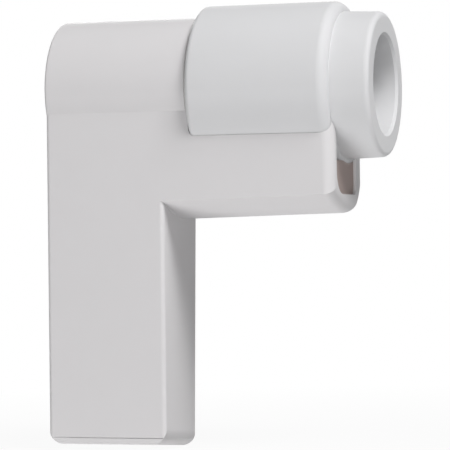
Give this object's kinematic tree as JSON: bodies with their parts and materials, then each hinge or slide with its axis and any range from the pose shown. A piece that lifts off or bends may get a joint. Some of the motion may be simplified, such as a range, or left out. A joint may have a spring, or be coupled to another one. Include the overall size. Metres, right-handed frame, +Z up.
{
  "type": "sprung_pivot_bracket",
  "caption": "L-shaped white moulded pivot bracket with a spring-returned turning barrel and a plain round shaft bore",
  "frame": {"origin": "On the barrel's axis, in the plane where the collar leaves the sleeve and the arm ends.", "axes": "+X runs along the barrel's axis and points out of the bore, -Y is the flat front, +Z is up, away from the leg's foot."},
  "size_m": [0.0444, 0.0222, 0.0591],
  "materials": {
    "white_moulding": "satin",
    "barrel_white": "satin",
    "insert_brass": "satin",
    "seal_rubber": "matte",
    "bolt_steel": "satin",
    "spring_steel": "gloss",
    "dark_nylon": "satin",
    "saddle_brown": "matte",
    "bush_bronze": "satin",
    "set_screw_steel": "satin",
    "washer_acetal": "satin"
  },
  "bodies": {
    "bracket": {"bracket_body": "white_moulding", "foot_plate": "white_moulding", "mount_inserts": "insert_brass", "knuckle_cap": "white_moulding", "cap_seal": "seal_rubber", "axle_bolt": "bolt_steel", "axle_washer": "bolt_steel", "axle_nut": "bolt_steel", "spring_spacer": "dark_nylon", "torsion_spring": "spring_steel", "thrust_washer": "washer_acetal", "bearing_saddle": "saddle_brown"},
    "hub": {"barrel_sleeve": "barrel_white", "collar_hub": "barrel_white", "hub_bush": "bush_bronze", "screw_insert": "insert_brass", "shaft_set_screw": "set_screw_steel"}
  },
  "joints": [
    {"name": "hub_turn", "type": "hinge", "parent": "bracket", "child": "hub", "pos_m": [-0.0185, 0, 0], "axis": [1, 0, 0], "range_deg": [0, 90], "stiffness_Nm_per_rad": 0.03, "springref_deg": -20.05, "deforming": ["torsion_spring"]}
  ]
}
